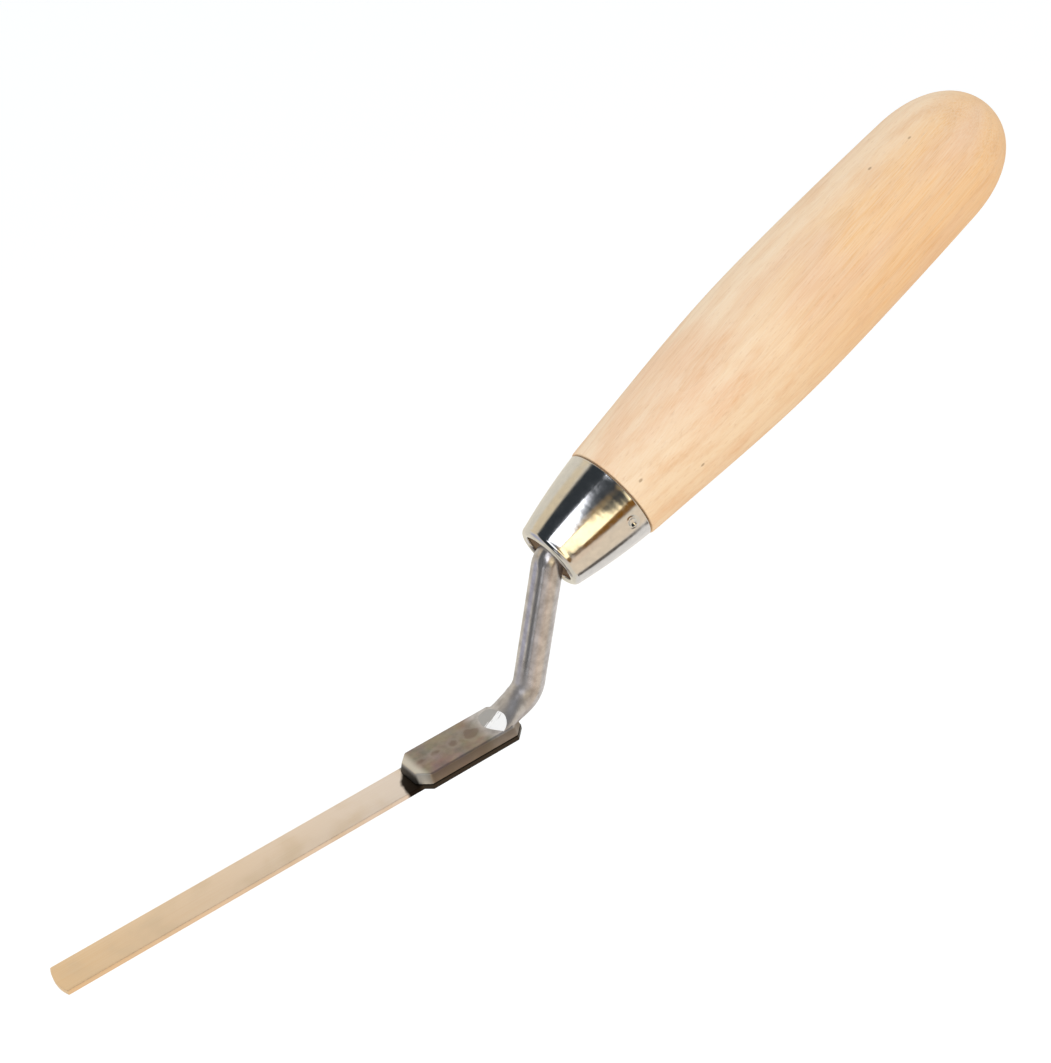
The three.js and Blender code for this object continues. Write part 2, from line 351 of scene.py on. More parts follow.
def plate_flank(inset=0):
    """The +Y side of the cut-cornered plate, drawn in by an inset all round."""
    slope = (heel_half_width - FOOT_END / 2) / CORNER_LENGTH
    corner_inset = inset * (math.sqrt(1 + slope * slope) - 1) / slope
    return [
        Vector((nose_x + inset, FOOT_END / 2 - inset * (math.sqrt(1 + slope * slope) - slope))),
        Vector((nose_x + CORNER_LENGTH + corner_inset, heel_half_width - inset)),
        Vector((heel_rear - CORNER_LENGTH - corner_inset, heel_half_width - inset)),
        Vector((heel_rear - inset, FOOT_END / 2 - inset * (math.sqrt(1 + slope * slope) - slope))),
    ]


def both_sides(flank):
    """A whole outline from its +Y side, which is the same on the -Y side."""
    return flank + [Vector((point.x, -point.y)) for point in reversed(flank)]


def slab(name, levels):
    """A closed slab from the height and the +Y side of its outline at each level."""
    return lofted(name, [[(point.x, point.y, z) for point in both_sides(flank)] for z, flank in levels])


tip_side = bezier([(tip_x, 0), (tip_x, BLADE_HALF_WIDTH / 2),
                   (tip_x + TIP_CROWN, BLADE_HALF_WIDTH - TIP_CORNER)], 8)
tip_corner = bezier([tip_side[-1], (tip_x + TIP_CROWN, BLADE_HALF_WIDTH),
                     (tip_x + TIP_CROWN + TIP_CORNER, BLADE_HALF_WIDTH)], 4)
heel_flank = plate_flank()
meeting_share = (BLADE_HALF_WIDTH - FOOT_END / 2) / (heel_half_width - FOOT_END / 2)
meeting = heel_flank[0].lerp(heel_flank[1], meeting_share)
blade_flank = tip_side[1:] + tip_corner[1:] + [meeting] + heel_flank[1:]
blade_piece = slab("blade_strip", [(0, blade_flank), (blade_top, blade_flank)])
soften(blade_piece, 0.05, 30)

# %% [markdown]
# ## The shank
# The shank is one steel rod. Its end was pressed flat in a die: the die left a cut-cornered foot with
# leaning sides, and where the die stopped it sheared a bright, blunt slope across the rod. Behind the slope
# the rod still bulges sideways, then it turns round, bends up into the neck, bends again and runs into the
# handle as a tang. The foot is a slab whose top is drawn in, the rod is a loft of rings along its middle
# line, and two exact booleans shear the rod and weld it to the foot, because a press leaves crisp meeting
# lines that a smoothed surface would lose.

# %% Foot
FOOT_THICKNESS = 2.1
DIE_DRAFT = 0.65  # the foot's sides lean in this far
foot_top = blade_top + FOOT_THICKNESS
shank_piece = slab("shank_rod", [(blade_top, plate_flank()), (foot_top, plate_flank(DIE_DRAFT))])
soften(shank_piece, 0.3, 25, segments=4)

# %% Rod
ROD_RADIUS = 3.1
NECK_ANGLE = math.radians(66.8)
LOWER_BEND = 5.2
UPPER_BEND = 3.4
PRESS_OVERHANG = 0.6  # the rod is round again this far behind the foot
BULGE_HALF_WIDTH = 3.9  # of the squeezed rod, just behind the slope
BULGE_HALF_HEIGHT = 2.0
BULGE_SHIFT = -0.7  # the press pushed it a little to one side
BULGE_BACK = 1.8  # the squeeze starts this far up the bend
BULGE_RUN = 6.4
TANG_LENGTH = 62
ROD_SIDES = 96
FRONT_RUN = 8  # the rod's straight end, which reaches to the slope and is sheared there
FRONT_STEP = 0.4
rod_z = blade_top + ROD_RADIUS
round_x = heel_rear + PRESS_OVERHANG


def rod_line():
    """The rod's middle line as points of X and Z: foot, lower bend, neck, upper bend and tang."""
    mouth = Vector((MOUTH.x, MOUTH.z))
    tangent = UPPER_BEND * math.tan((NECK_ANGLE - HANDLE_TILT) / 2)
    neck_end = mouth - Vector((math.cos(NECK_ANGLE), math.sin(NECK_ANGLE))) * tangent
    centre = neck_end + Vector((math.sin(NECK_ANGLE), -math.cos(NECK_ANGLE))) * UPPER_BEND
    lean, tilt = math.degrees(NECK_ANGLE), math.degrees(HANDLE_TILT)
    front_steps = range(round(FRONT_RUN / FRONT_STEP))
    front = [Vector((round_x - FRONT_RUN + step * FRONT_STEP, rod_z)) for step in front_steps]
    lower = arc((round_x, rod_z + LOWER_BEND), LOWER_BEND, -90, lean - 90, 24)
    neck = [lower[-1].lerp(neck_end, step / 24) for step in range(1, 24)]
    upper = arc(centre, UPPER_BEND, lean + 90, tilt + 90, 16)
    tang_end = mouth + Vector((math.cos(HANDLE_TILT), math.sin(HANDLE_TILT))) * TANG_LENGTH
    return front + lower + neck + upper + [tang_end]


def rod_rings():
    """The rod's section at each point of its line: round, but squeezed low and wide just behind the foot."""
    line = rod_line()
    rings = []
    for place, middle in enumerate(line):
        before, after = line[max(place - 1, 0)], line[min(place + 1, len(line) - 1)]
        direction = (after - before).normalized()
        rise = Vector((-direction.y, direction.x))
        share = min(max((round_x + BULGE_BACK - middle.x) / BULGE_RUN, 0), 1)
        squeeze = share * share * (3 - 2 * share)
        half_width = ROD_RADIUS + (BULGE_HALF_WIDTH - ROD_RADIUS) * squeeze
        half_height = ROD_RADIUS + (BULGE_HALF_HEIGHT - ROD_RADIUS) * squeeze
        ring = []
        for side in range(ROD_SIDES):
            turn = math.tau * side / ROD_SIDES
            height = (1 + math.sin(turn)) * half_height - ROD_RADIUS
            across = math.cos(turn) * half_width + BULGE_SHIFT * squeeze
            ring.append((middle.x + rise.x * height, across, middle.y + rise.y * height))
        rings.append(ring)
    return rings


rod = lofted("rod", rod_rings())

# %% Slope sheared by the die
SLOPE_START = heel_rear - 6.65  # its foremost point, on the foot's top
SLOPE_PLAN = 0.75  # how fast it falls back to each side, seen from above
SLOPE_NOSE = 2.2  # radius of its rounded front
SLOPE_RISE = 1.7  # how far it falls back for each mm of height
SLOPE_TOP = foot_top + 3.2  # above this the die never touched the rod
SLOPE_STEP = 0.25
SLOPE_STEPS = 48
PROW_CLEAR = 12  # above the slope, the body that stands for what the die left is this far in front of it
PROW_TOP = 80  # above the whole rod


def slope_x(y, height):
    """How far along the blade the slope lies, at a distance to the side and a height."""
    rise = SLOPE_RISE * (min(height, SLOPE_TOP) - foot_top)
    return SLOPE_START + rise + math.hypot(SLOPE_NOSE, SLOPE_PLAN * y) - SLOPE_NOSE


prow_levels = [(blade_top - 1, 0), (SLOPE_TOP, 0), (SLOPE_TOP + 0.2, PROW_CLEAR), (PROW_TOP, PROW_CLEAR)]
prow_rings = []
for height, clear in prow_levels:
    sides = [step * SLOPE_STEP for step in range(SLOPE_STEPS)]
    flank = [Vector((slope_x(side, height) - clear, side)) for side in sides]
    flank.append(Vector((butt_along, flank[-1].y)))
    prow_rings.append([(point.x, point.y, height) for point in both_sides(flank)[:-1]])
prow = lofted("prow", prow_rings)


def combine(piece, other, operation):
    """Join another closed body to a piece, or keep only what they share, and drop the other one."""
    boolean = piece.modifiers.new(operation, "BOOLEAN")
    boolean.object = other
    boolean.operation = operation
    boolean.solver = "EXACT"
    bake(piece)
    bpy.data.objects.remove(other)


combine(rod, prow, "INTERSECT")
combine(shank_piece, rod, "UNION")
shank_piece.data.shade_smooth()
shank_piece.data.set_sharp_from_angle(angle=math.radians(28))

# %% [markdown]
# ## Turned parts
# The ferrule is drawn over a mandrel and the handle is cut on a lathe, so both follow one rule: an outline
# turned about an axis. A Spin in edit mode could do it, but a small Geometry Nodes tree keeps the rule in
# sight. It takes the outline as a line of edges, sweeps it round a circle too small to matter, tilts the
# result along the grip and gives it its material. The result is baked to a plain mesh, so nothing is left
# to evaluate.

# %% The lathe as a node tree
LATHE_CORE = 0.01  # radius of the circle that carries the outline; the outline is drawn in by as much

lathe = bpy.data.node_groups.new("lathe", "GeometryNodeTree")
sockets = [("Outline", "INPUT", "NodeSocketGeometry"), ("Sides", "INPUT", "NodeSocketInt"),
           ("Mouth", "INPUT", "NodeSocketVector"), ("Tilt", "INPUT", "NodeSocketFloat"),
           ("Finish", "INPUT", "NodeSocketMaterial"), ("Turned", "OUTPUT", "NodeSocketGeometry")]
lathe_ids = {name: lathe.interface.new_socket(name, in_out=way, socket_type=kind).identifier
             for name, way, kind in sockets}
given = lathe.nodes.new("NodeGroupInput").outputs
outline_curve = add(lathe, "GeometryNodeMeshToCurve", {"Mesh": given["Outline"]})
circle = add(lathe, "GeometryNodeCurvePrimitiveCircle", {"Resolution": given["Sides"],
                                                         "Radius": LATHE_CORE * MM})
spun = add(lathe, "GeometryNodeCurveToMesh", {"Curve": circle, "Profile Curve": outline_curve})
tilt = add(lathe, "ShaderNodeCombineXYZ", {"Y": given["Tilt"]})
placed = add(lathe, "GeometryNodeTransform", {"Geometry": spun, "Translation": given["Mouth"],
                                              "Rotation": tilt})
smooth = add(lathe, "GeometryNodeSetShadeSmooth", {"Geometry": placed})
finished = add(lathe, "GeometryNodeSetMaterial", {"Geometry": smooth, "Material": given["Finish"]})
add(lathe, "NodeGroupOutput", {"Turned": finished})


def turned(name, outline, sides, finish):
    """A piece turned on the grip's axis from points of place along it and radius, both in mm.
    The sweep lays an outline's Y against the axis, so places are given to it negated."""
    mesh = bpy.data.meshes.new(name)
    points = [((radius - LATHE_CORE) * MM, -place * MM, 0) for place, radius in outline]
    mesh.from_pydata(points, [(i, i + 1) for i in range(len(points) - 1)], [])
    piece = bpy.data.objects.new(name, mesh)
    bpy.context.scene.collection.objects.link(piece)
    modifier = piece.modifiers.new("lathe", "NODES")
    modifier.node_group = lathe
    modifier[lathe_ids["Sides"]] = sides
    modifier[lathe_ids["Mouth"]] = MOUTH * MM
    modifier[lathe_ids["Tilt"]] = math.pi / 2 - HANDLE_TILT
    modifier[lathe_ids["Finish"]] = finish
    bake(piece)
    shape = bmesh.new()
    shape.from_mesh(piece.data)
    bmesh.ops.remove_doubles(shape, verts=shape.verts, dist=1e-6)
    bmesh.ops.dissolve_degenerate(shape, edges=shape.edges, dist=1e-7)
    bmesh.ops.recalc_face_normals(shape, faces=shape.faces)
    shape.to_mesh(piece.data)
    shape.free()
    return piece

# %% [markdown]
# ## Reading a pattern where the material grew or was worked
# Grain runs along the handle and drawing marks run round the ferrule, so both read their patterns in the
# grip's own frame. A Mapping node of the Texture kind turns Object coordinates into that frame and into
# millimetres: X runs along the grip from the ferrule's mouth. The rod and the blade lie along X already and
# only change their unit.

# %% Start of a material
def start_material(name, place=(0, 0, 0), tilt=0.0):
    """A new material: its tree, its shader, and coordinates in mm in a frame of its own."""
    material = bpy.data.materials.new(name)
    material.use_nodes = True
    tree = material.node_tree
    local = add(tree, "ShaderNodeMapping", {"Vector": add(tree, "ShaderNodeTexCoord", out="Object"),
                                            "Location": place, "Rotation": (0, -tilt, 0),
                                            "Scale": (MM, MM, MM)}, vector_type="TEXTURE")
    return material, tree, tree.nodes["Principled BSDF"], local


# %% [markdown]
# ## Straw-tempered spring steel
# Spring steel is hardened and then tempered, which leaves a thin straw-coloured oxide, and it is ground
# along its length. So the metal is a pale straw with soft cloudy patches a few millimetres wide, deeper at
# the tip, where the temper ran hotter, and paler near the foot. The grinding gives a satin gloss and
# hair-fine lines along X. A dark crescent on the strip at the foot's nose is painted shadow and painted
# reflection of the nose, and the heel's edge under the foot is painted dark brown as shade.

# %% Blade material
STRAW_TIP = colour("EED1AD")
STRAW_HEEL = colour("EAE0DD")
STRAW_CLOUD = colour("DFCBB3")
NOSE_SHADOW_AND_REFLECTION = colour("231C17")
UNDER_FOOT_SHADE = colour("3E3832")  # painted shade of the heel's edge, under the foot
NOSE_SHADOW_CENTRE = (43.5, -4.0, blade_top)  # the painted shadow and reflection is a disc that the foot mostly covers
NOSE_SHADOW_FULL = 9.3  # the painted shadow is full out to here, and gone a little further out
NOSE_SHADOW_GONE = 10.1
CLOUD_SCALE = 1 / 7  # clouds about 7 mm apart
GRIND_SCALE = (0.05, 6, 6)  # grinding lines 20 mm long and a sixth of a mm wide
GRIND_SHINE = colour("FFFFFF")

straw, tree, shader, local = start_material("straw_tempered_spring_steel")
along = add(tree, "ShaderNodeSeparateXYZ", {0: local}, out="X")
heel_share = add(tree, "ShaderNodeMapRange", {"Value": along, "From Min": tip_x, "From Max": nose_x})
clouds = add(tree, "ShaderNodeTexNoise", {"Vector": local, "Scale": CLOUD_SCALE, "Detail": 3.0})
cloud_share = add(tree, "ShaderNodeMapRange", {"Value": clouds, "From Min": 0.45, "From Max": 0.75,
                                               "To Max": 0.55}, interpolation_type="SMOOTHSTEP")
grind_at = add(tree, "ShaderNodeVectorMath", {0: local, 1: GRIND_SCALE}, operation="MULTIPLY")
grinding = add(tree, "ShaderNodeTexNoise", {"Vector": grind_at, "Scale": 1.0, "Detail": 2.0})
grind_share = add(tree, "ShaderNodeMapRange", {"Value": grinding, "From Min": 0.3, "From Max": 0.7,
                                               "To Max": 0.14})
# painted shadow and painted reflection of the foot's nose: a dark crescent on the strip just in front of it
nose_shadow_distance = add(tree, "ShaderNodeVectorMath", {0: local, 1: NOSE_SHADOW_CENTRE}, out="Value",
                    operation="DISTANCE")
ragged = add(tree, "ShaderNodeTexNoise", {"Vector": local, "Scale": 0.5, "Detail": 1.0})
nose_shadow_reach = add(tree, "ShaderNodeMath", {0: ragged, 1: nose_shadow_distance}, operation="ADD")
nose_shadow_share = add(tree, "ShaderNodeMapRange", {"Value": nose_shadow_reach, "From Min": NOSE_SHADOW_FULL,
                                              "From Max": NOSE_SHADOW_GONE, "To Min": 1.0, "To Max": 0.0},
                 interpolation_type="SMOOTHSTEP")
tempered = add(tree, "ShaderNodeMix", {0: heel_share, 6: STRAW_TIP, 7: STRAW_HEEL}, data_type="RGBA")
clouded = add(tree, "ShaderNodeMix", {0: cloud_share, 6: tempered, 7: STRAW_CLOUD}, data_type="RGBA")
ground = add(tree, "ShaderNodeMix", {0: grind_share, 6: clouded, 7: GRIND_SHINE}, data_type="RGBA")
with_nose_shadow = add(tree, "ShaderNodeMix", {0: nose_shadow_share, 6: ground, 7: NOSE_SHADOW_AND_REFLECTION}, data_type="RGBA")
# painted shade: the heel under the foot is drawn dark brown
under_foot = add(tree, "ShaderNodeMapRange", {"Value": along, "From Min": nose_x + 0.1,
                                              "From Max": nose_x + 0.9})
shaded_under_foot = add(tree, "ShaderNodeMix", {0: under_foot, 6: with_nose_shadow, 7: UNDER_FOOT_SHADE}, data_type="RGBA")
gloss = add(tree, "ShaderNodeMapRange", {"Value": clouds, "To Min": 0.34, "To Max": 0.46})
relief = add(tree, "ShaderNodeBump", {"Height": grinding, "Strength": 0.25, "Distance": 0.01 * MM})
connect(tree, shader, {"Base Color": shaded_under_foot, "Metallic": 1.0, "Roughness": gloss, "Normal": relief})
blade_piece.data.materials.append(straw)

# %% [markdown]
# ## Drawn and pressed rod steel
# The rod is mild steel drawn through a die, then pressed and welded without being polished again. The neck
# keeps the drawn surface: a cool grey, glossy, with faint blotches. The foot and the bend are duller, and
# the foot is browner too, because the welding heat ran through it. Its top shows a row of weld marks, brown
# patches with paler rims, and its sides are painted darker as shade. The edge of its nose is painted dark as
# shade, and the next few millimetres carry a painted highlight. A thin oxide dims the mirror of the bare
# metal, so the steel is a little less than fully metallic.

# %% Shank material
DRAWN = colour("CCCACD")
HEATED = colour("9C8E83")
WELD_BROWN = colour("6F5B4F")
WELD_RIM = colour("A7A09B")
BLOTCH = colour("77706A")
# painted shade on the foot's sides
FOOT_SIDE_SHADE = colour("7E7166")
# painted highlight on the first few millimetres behind the nose
NOSE_PAINTED_HIGHLIGHT = colour("DAD6CE")
# painted shade on the edge of the nose
NOSE_PAINTED_SHADE = colour("2B2823")
WELDS = [(0.15, 1.3), (0.29, 1.2), (0.44, 1.3), (0.61, 2.1)]  # share of the foot's length, radius in mm
HEAT_FULL = round_x - 10  # the heat tint is full up to here
HEAT_GONE = round_x - 6.5  # and gone from here, near the foot of the slope
OXIDE_METALLIC = 0.82

steel, tree, shader, local = start_material("drawn_mild_steel")
along = add(tree, "ShaderNodeSeparateXYZ", {0: local}, out="X")
height = add(tree, "ShaderNodeSeparateXYZ", {0: local}, out="Z")
over_heel = add(tree, "ShaderNodeMapRange", {"Value": along, "From Min": heel_rear,
                                             "From Max": heel_rear + 0.4, "To Min": 1.0, "To Max": 0.0})
heat = add(tree, "ShaderNodeMapRange", {"Value": along, "From Min": HEAT_FULL, "From Max": HEAT_GONE,
                                        "To Min": 1.0, "To Max": 0.0}, interpolation_type="SMOOTHSTEP")
blotches = add(tree, "ShaderNodeTexNoise", {"Vector": local, "Scale": 0.45, "Detail": 4.0, "Roughness": 0.6})
blotch_share = add(tree, "ShaderNodeMapRange", {"Value": blotches, "From Min": 0.35, "From Max": 0.7,
                                                "To Max": 0.5})
fine = add(tree, "ShaderNodeTexNoise", {"Vector": local, "Scale": 3.5, "Detail": 3.0})
spread = add(tree, "ShaderNodeMath", {0: blotches, 1: 3.0}, operation="MULTIPLY")
metal = add(tree, "ShaderNodeMix", {0: heat, 6: DRAWN, 7: HEATED}, data_type="RGBA")
metal = add(tree, "ShaderNodeMix", {0: blotch_share, 6: metal, 7: BLOTCH}, data_type="RGBA")
tints = add(tree, "ShaderNodeTexNoise", {"Vector": local, "Scale": 0.3, "Detail": 2.0}, out="Color")
tinted = add(tree, "ShaderNodeMix", {0: 0.35, 6: metal, 7: tints}, data_type="RGBA", blend_type="SOFT_LIGHT")
metal = add(tree, "ShaderNodeMix", {0: heat, 6: metal, 7: tinted}, data_type="RGBA")
# painted shade: the foot's sides below its top are drawn darker
below_top = add(tree, "ShaderNodeMapRange", {"Value": height, "From Min": foot_top - 0.5,
                                             "From Max": foot_top - 0.1, "To Min": 0.8, "To Max": 0.0})
painted_side_shade = add(tree, "ShaderNodeMath", {0: below_top, 1: over_heel}, operation="MULTIPLY")
# painted highlight over the first few millimetres behind the nose
nose_highlight_share = add(tree, "ShaderNodeMapRange", {"Value": along, "From Min": nose_x + 1.4,
                                             "From Max": nose_x + 3.2, "To Min": 0.9, "To Max": 0.0},
                interpolation_type="SMOOTHSTEP")
# painted shade on the nose's edge
nose_shade_share = add(tree, "ShaderNodeMapRange", {"Value": along, "From Min": nose_x + 0.35,
                                             "From Max": nose_x + 0.85, "To Min": 0.95, "To Max": 0.0},
                interpolation_type="SMOOTHSTEP")
for share, tint in ((painted_side_shade, FOOT_SIDE_SHADE), (nose_highlight_share, NOSE_PAINTED_HIGHLIGHT), (nose_shade_share, NOSE_PAINTED_SHADE)):
    metal = add(tree, "ShaderNodeMix", {0: share, 6: metal, 7: tint}, data_type="RGBA")
for share, radius in WELDS:
    weld_centre = (nose_x + share * FOOT_LENGTH, 0, foot_top)
    weld_distance = add(tree, "ShaderNodeVectorMath", {0: local, 1: weld_centre}, out="Value",
                        operation="DISTANCE")
    weld_edge = add(tree, "ShaderNodeMath", {0: spread, 1: weld_distance}, operation="ADD")
    rim = add(tree, "ShaderNodeMapRange", {"Value": weld_edge, "From Min": radius + 1.0,
                                           "From Max": radius + 2.6, "To Min": 0.35, "To Max": 0.0},
              interpolation_type="SMOOTHSTEP")
    core = add(tree, "ShaderNodeMapRange", {"Value": weld_edge, "From Min": radius + 0.5,
                                            "From Max": radius + 1.5, "To Min": 0.6, "To Max": 0.0},
               interpolation_type="SMOOTHSTEP")
    metal = add(tree, "ShaderNodeMix", {0: rim, 6: metal, 7: WELD_RIM}, data_type="RGBA")
    metal = add(tree, "ShaderNodeMix", {0: core, 6: metal, 7: WELD_BROWN}, data_type="RGBA")
gloss = add(tree, "ShaderNodeMapRange", {"Value": blotches, "From Min": 0.3, "From Max": 0.7, "To Min": 0.17,
                                         "To Max": 0.28})
pressed = add(tree, "ShaderNodeMapRange", {"Value": along, "From Min": round_x + 2.2, "From Max": round_x + 4,
                                           "To Min": 0.22, "To Max": 0.0})
gloss = add(tree, "ShaderNodeMath", {0: gloss, 1: pressed}, operation="ADD")
relief = add(tree, "ShaderNodeBump", {"Height": fine, "Strength": 0.2, "Distance": 0.003 * MM})
connect(tree, shader, {"Base Color": metal, "Metallic": OXIDE_METALLIC, "Roughness": gloss, "Normal": relief})
shank_piece.data.materials.append(steel)

# %% [markdown]
# Where the die sheared the rod, the steel is bare and bright. Its far side is painted grey as shade, with a
# ragged, striped edge. The fresh grain scatters light almost as a matt surface does, so its metallic share
# is small. The faces that lie on the slope are found from the slope's own rule.

# %% Sheared face
SHEARED = colour("FFFFFE")
# painted shade on the slope's far side, with a ragged striped edge
SLOPE_SHADE_GREY = colour("8D8983")
STRIPE_SCALE = (0.3, 2.2, 0.6)  # stripes about half a mm wide
ON_SLOPE = 0.02  # how near the slope a face's middle must lie
FACES_FORWARD = -0.2  # and how far its normal must point towards -X

sheared, tree, shader, local = start_material("freshly_sheared_steel")
across = add(tree, "ShaderNodeSeparateXYZ", {0: local}, out="Y")
stripe_at = add(tree, "ShaderNodeVectorMath", {0: local, 1: STRIPE_SCALE}, operation="MULTIPLY")
stripes = add(tree, "ShaderNodeTexNoise", {"Vector": stripe_at, "Scale": 1.0, "Detail": 3.0})
# painted shade: the slope's far side, towards +Y, is drawn grey
slope_shade_edge = add(tree, "ShaderNodeMath", {0: stripes, 1: 6.0, 2: across}, operation="MULTIPLY_ADD")
slope_shade = add(tree, "ShaderNodeMapRange", {"Value": slope_shade_edge, "From Min": 1.5, "From Max": 2.6, "To Max": 0.85},
           interpolation_type="SMOOTHSTEP")
bared = add(tree, "ShaderNodeMix", {0: slope_shade, 6: SHEARED, 7: SLOPE_SHADE_GREY}, data_type="RGBA")
relief = add(tree, "ShaderNodeBump", {"Height": stripes, "Strength": 0.4, "Distance": 0.1 * MM})
connect(tree, shader, {"Base Color": bared, "Metallic": 0.1, "Roughness": 0.4, "Normal": relief})
shank_piece.data.materials.append(sheared)
for face in shank_piece.data.polygons:
    centre = face.center / MM
    near = abs(centre.x - slope_x(centre.y, centre.z)) < ON_SLOPE
    if near and foot_top < centre.z < SLOPE_TOP and face.normal.x < FACES_FORWARD:
        face.material_index = 1
print("sheared faces:", sum(face.material_index for face in shank_piece.data.polygons))

# %% [markdown]
# ## Chromed steel
# The ferrule is drawn from sheet and plated with bright chromium, which mirrors about two thirds of the
# light and hardly tints it. The plate follows the drawn surface, so its mirror images are slightly rippled
# by rings that run round the cap, and handling leaves it with very faint smears.

# %% Ferrule material
CHROMIUM = colour("DEDDDC")
SMEARED = colour("C9CACD")
RIPPLE_SCALE = (0.55, 0.12, 0.12)  # ripples about 2 mm apart along the cap

chrome, tree, shader, local = start_material("chromed_steel", MOUTH * MM, HANDLE_TILT)
ripple_at = add(tree, "ShaderNodeVectorMath", {0: local, 1: RIPPLE_SCALE}, operation="MULTIPLY")
ripples = add(tree, "ShaderNodeTexNoise", {"Vector": ripple_at, "Scale": 1.0, "Detail": 1.0})
smears = add(tree, "ShaderNodeTexNoise", {"Vector": local, "Scale": 0.8, "Detail": 4.0})
gloss = add(tree, "ShaderNodeMapRange", {"Value": smears, "From Min": 0.4, "From Max": 0.7, "To Min": 0.11,
                                         "To Max": 0.17})
tone = add(tree, "ShaderNodeMix", {0: smears, 6: CHROMIUM, 7: SMEARED}, data_type="RGBA")
relief = add(tree, "ShaderNodeBump", {"Height": ripples, "Strength": 1.0, "Distance": 0.025 * MM})
connect(tree, shader, {"Base Color": tone, "Metallic": 1.0, "Roughness": gloss, "Normal": relief})

# %% [markdown]
# ## The ferrule
# The ferrule's outline starts in the mouth, turns a drawn corner, runs along a slightly bulged cone to the
# rim by the wood, and comes back inside at the wall's thickness. Two punch marks near its base hold it on
# the wood. Each is a small dent with a raised rim, pressed into the finished mesh, whose rings lie closer
# there so that the dents are round.

# %% Ferrule outline
FERRULE_LENGTH = ferrule_base_along - mouth_along
FERRULE_BASE_RADIUS = (ferrule_high - ferrule_low) / 2
FERRULE_WALL = 0.8
FERRULE_TIP_RADIUS = 7.15
FERRULE_BULGE = 0.3
TIP_ROUNDING = 1.3
MOUTH_RADIUS = 5.7
MOUTH_CHAMFER = 0.15
RIM_ROUNDING = 0.25
STAKE_RADIUS = 0.9
STAKE_DEPTH = 0.4
STAKE_FROM_BASE = 2.7
LIP_HEIGHT = 0.09  # of the raised rim round a punch mark
LIP_PLACE = 1.15  # its place and its width, in radii of the mark
LIP_WIDTH = 0.3
FERRULE_SIDES = 288
RING_STEP = 0.65
STAKE_RING_STEP = 0.14
STAKE_RINGS_REACH = 1.7  # the closer rings take over this near to the marks


def ferrule_radius(place):
    """Radius of the ferrule's outside, at a place measured from its mouth."""
    share = place / FERRULE_LENGTH
    cone = FERRULE_TIP_RADIUS + (FERRULE_BASE_RADIUS - FERRULE_TIP_RADIUS) * share
    return cone + 4 * FERRULE_BULGE * share * (1 - share)


corner = ferrule_radius(TIP_ROUNDING) - TIP_ROUNDING
stake_place = FERRULE_LENGTH - STAKE_FROM_BASE
coarse = [TIP_ROUNDING + step * RING_STEP for step in range(1, 18)]
dented = [stake_place + step * STAKE_RING_STEP for step in range(-11, 12)]
side_places = sorted([place for place in coarse if abs(place - stake_place) > STAKE_RINGS_REACH] + dented)
side_places.append(FERRULE_LENGTH - RIM_ROUNDING)
rim_centre = (FERRULE_LENGTH - RIM_ROUNDING, ferrule_radius(FERRULE_LENGTH) - RIM_ROUNDING)
ferrule_outline = [Vector((FERRULE_WALL, MOUTH_RADIUS)), Vector((MOUTH_CHAMFER, MOUTH_RADIUS)),
                   Vector((0, MOUTH_RADIUS + MOUTH_CHAMFER))]
ferrule_outline += arc((TIP_ROUNDING, corner), TIP_ROUNDING, 180, 90, 14)
ferrule_outline += [Vector((place, ferrule_radius(place))) for place in side_places]
ferrule_outline += arc(rim_centre, RIM_ROUNDING, 90, 0, 5)[1:]
inside_places = [FERRULE_LENGTH * share / 8 for share in range(8, 0, -1)]
ferrule_outline += [Vector((place, ferrule_radius(place) - FERRULE_WALL)) for place in inside_places]
ferrule_outline += arc((TIP_ROUNDING, corner), TIP_ROUNDING - FERRULE_WALL, 90, 180, 6)
ferrule_outline.append(ferrule_outline[0])
ferrule_piece = turned("ferrule_cap", ferrule_outline, FERRULE_SIDES, chrome)

# %% Punch marks
for vertex in ferrule_piece.data.vertices:
    point = vertex.co / MM - MOUTH
    place = point.dot(GRIP_AXIS)
    spoke = point - GRIP_AXIS * place
    outside = spoke.length > ferrule_radius(place) - FERRULE_WALL / 2
    around = math.asin(max(-1, min(1, spoke.dot(GRIP_RISE) / spoke.length))) * spoke.length
    reach_out = math.hypot(place - stake_place, around) / STAKE_RADIUS
    if outside and reach_out < 2:
        dent = STAKE_DEPTH * max(0, 1 - reach_out ** 2) ** 0.5
        lip = LIP_HEIGHT * math.exp(-((reach_out - LIP_PLACE) / LIP_WIDTH) ** 2)
        vertex.co += spoke.normalized() * (lip - dent) * MM
ferrule_piece.data.set_sharp_from_angle(angle=math.radians(50))

# %% [markdown]
# ## Turned beech
# European beech is a pale pinkish cream that yellows with age. It is close-grained: what shows on a turned
# surface are soft growth lines along the handle, two to three millimetres apart, and thousands of short
# brown ray flecks, a millimetre or two long and a few tenths wide. Here the butt has yellowed more than the
# front, the upper far side is less yellow, and a few tiny knots lie scattered. The wood is sanded and left
# bare, so it is matt, and fine fibres give it a little tooth. Its colours lie over one another, each where a
# pattern of its own says.

